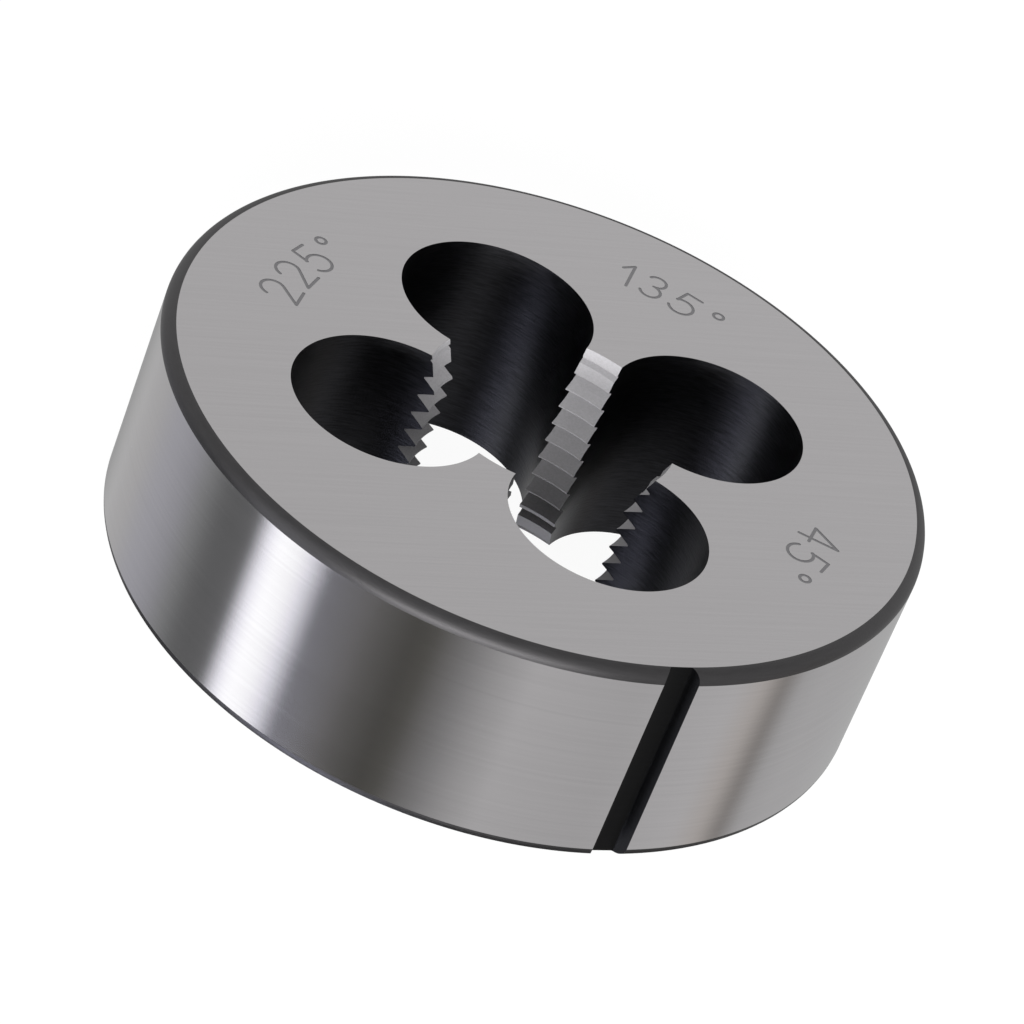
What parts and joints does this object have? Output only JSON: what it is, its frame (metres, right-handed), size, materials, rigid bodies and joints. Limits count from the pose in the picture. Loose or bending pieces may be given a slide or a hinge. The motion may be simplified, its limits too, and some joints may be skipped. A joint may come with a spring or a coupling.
{
  "type": "round threading die",
  "caption": "Thick steel disc that cuts an outside thread: toothed lands between round chip holes, a taper at both mouths of the bore and a shallow groove down its edge.",
  "frame": {"origin": "centre of the lower face, on the axis of the bore", "axes": "+Z along the bore towards the marked face, -Y towards the adjusting groove"},
  "size_m": [0.0508, 0.0508, 0.015],
  "materials": {
    "tool_steel": "ground faces and outside, bare teeth, black oxide in the chip holes, the groove and on the rims"
  },
  "bodies": {
    "root": {"threading_die": "tool_steel"}
  },
  "joints": []
}
